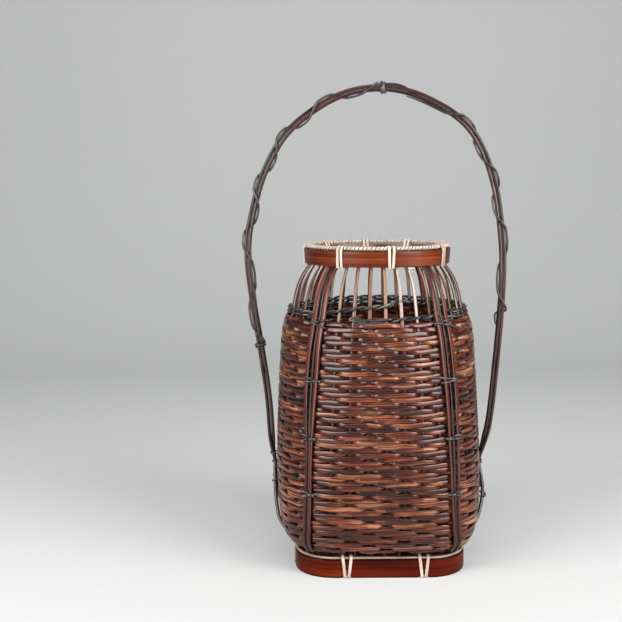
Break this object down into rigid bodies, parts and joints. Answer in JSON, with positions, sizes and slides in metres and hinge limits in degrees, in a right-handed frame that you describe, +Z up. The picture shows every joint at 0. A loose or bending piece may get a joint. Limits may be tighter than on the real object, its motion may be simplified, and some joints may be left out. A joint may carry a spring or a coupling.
{
  "type": "ikebana basket",
  "caption": "Woven flower basket on a square foot band, with an open neck, a bound rim, a tall fixed vine-wound handle and a lift-out bamboo water tube.",
  "frame": {"origin": "on the surface that the basket stands on, under the middle of the whole part's box; the foot band's own centre is on +Z", "axes": "+Z up, the front faces -Y, +X to the right as seen from the front, and the handle's arch lies in the XZ plane"},
  "size_m": [0.2215, 0.1708, 0.3969],
  "materials": {
    "lacquered_band": "glossy lacquer",
    "light_cane": "satin cane",
    "split_rattan": "stained and oiled",
    "stake_rattan": "satin",
    "lath_rattan": "stained and oiled",
    "dark_vine": "dull",
    "handle_cane": "satin lacquer",
    "inner_band": "satin",
    "smoked_bamboo": "matte"
  },
  "bodies": {
    "basket": {"foot_band": "lacquered_band", "foot_edge_cane": "light_cane", "base_floor": "split_rattan", "woven_wall": "split_rattan", "woven_wall_low": "split_rattan", "rim_outer_band": "lacquered_band", "rim_inner_band": "inner_band", "rim_core": "light_cane", "rim_binding": "light_cane", "handle_outer_cane": "handle_cane", "handle_inner_cane": "handle_cane", "handle_left_vine": "dark_vine", "handle_right_vine": "dark_vine", "left_handle_tie": "dark_vine", "right_handle_tie": "dark_vine", "front_stake_1": "stake_rattan", "front_stake_2": "stake_rattan", "front_stake_3": "stake_rattan", "front_stake_4": "stake_rattan", "front_stake_5": "stake_rattan", "front_stake_6": "stake_rattan", "front_stake_7": "stake_rattan", "front_stake_8": "stake_rattan", "front_stake_9": "stake_rattan", "right_stake_1": "stake_rattan", "right_stake_2": "stake_rattan", "right_stake_3": "stake_rattan", "right_stake_4": "stake_rattan", "right_stake_5": "stake_rattan", "right_stake_6": "stake_rattan", "right_stake_7": "stake_rattan", "right_stake_8": "stake_rattan", "right_stake_9": "stake_rattan", "rear_stake_1": "stake_rattan", "rear_stake_2": "stake_rattan", "rear_stake_3": "stake_rattan", "rear_stake_4": "stake_rattan", "rear_stake_5": "stake_rattan", "rear_stake_6": "stake_rattan", "rear_stake_7": "stake_rattan", "rear_stake_8": "stake_rattan", "rear_stake_9": "stake_rattan", "left_stake_1": "stake_rattan", "left_stake_2": "stake_rattan", "left_stake_3": "stake_rattan", "left_stake_4": "stake_rattan", "left_stake_5": "stake_rattan", "left_stake_6": "stake_rattan", "left_stake_7": "stake_rattan", "left_stake_8": "stake_rattan", "left_stake_9": "stake_rattan", "front_left_strut": "lath_rattan", "front_right_strut": "lath_rattan", "rear_right_strut": "lath_rattan", "rear_left_strut": "lath_rattan", "lower_twine_first_strand": "dark_vine", "lower_twine_second_strand": "dark_vine", "upper_twine_first_strand": "dark_vine", "upper_twine_second_strand": "dark_vine"},
    "water_tube": {"water_tube": "smoked_bamboo"}
  },
  "joints": [
    {"name": "tube_lift", "type": "slide", "parent": "basket", "child": "water_tube", "axis": [0, 0, 1], "range_m": [0, 0.18]}
  ]
}
